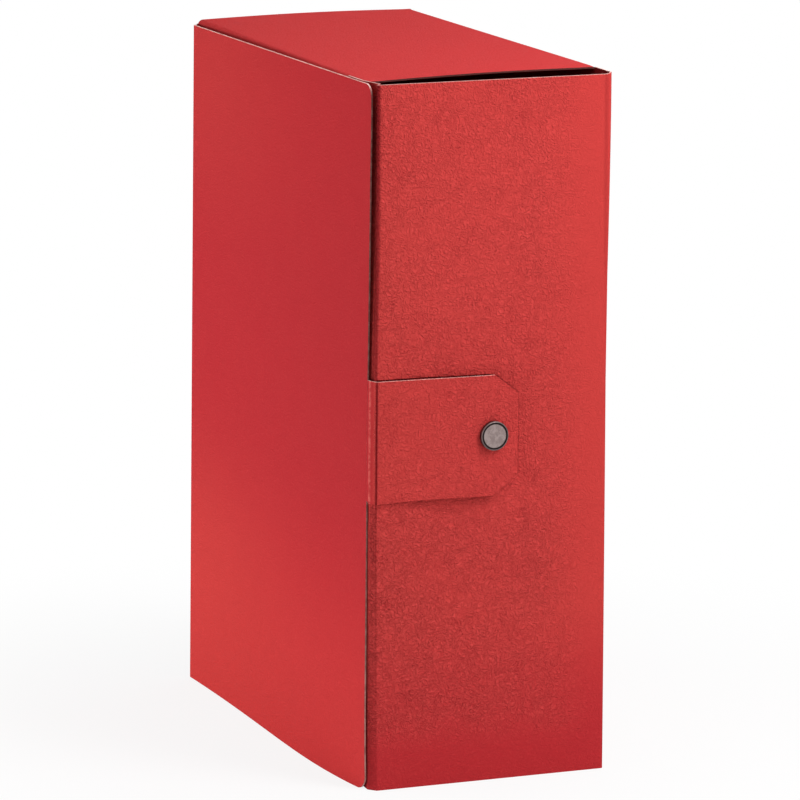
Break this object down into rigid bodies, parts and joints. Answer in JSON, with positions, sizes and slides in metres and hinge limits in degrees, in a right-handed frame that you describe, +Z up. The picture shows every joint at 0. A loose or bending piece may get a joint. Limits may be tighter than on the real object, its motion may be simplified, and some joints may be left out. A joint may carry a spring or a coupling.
{
  "type": "project file",
  "caption": "Tall document case folded from red leather-grain board, with a side lid, a tucked front flap and a tab closed by a press stud.",
  "frame": {"origin": "middle of the closed case's footprint, on the surface that it stands on", "axes": "+Z up; -Y towards the front face with the tab and press stud; -X towards the lid"},
  "size_m": [0.124, 0.2567, 0.3512],
  "materials": {
    "red_board": "red embossed leather-grain card, satin, with a pale core at its cut edges",
    "gunmetal": "dark antiqued metal, satin, worn bright at the rim",
    "plain_steel": "pressed nickel-plated sheet, satin"
  },
  "bodies": {
    "case": {"case_shell": "red_board", "snap_stud": "plain_steel", "snap_post": "plain_steel"},
    "lid": {"lid": "red_board"},
    "tab": {"closure_tab": "red_board", "snap_cap": "gunmetal", "snap_socket": "plain_steel"}
  },
  "joints": [
    {"name": "lid_fold", "type": "hinge", "parent": "case", "child": "lid", "pos_m": [-0.05985, 0.12515, 0.175], "axis": [0, 0, -1], "range_deg": [0, 180]},
    {"name": "tab_fold", "type": "hinge", "parent": "lid", "child": "tab", "pos_m": [-0.06077, -0.12518, 0.175], "axis": [0, 0, -1], "range_deg": [0, 150]}
  ]
}
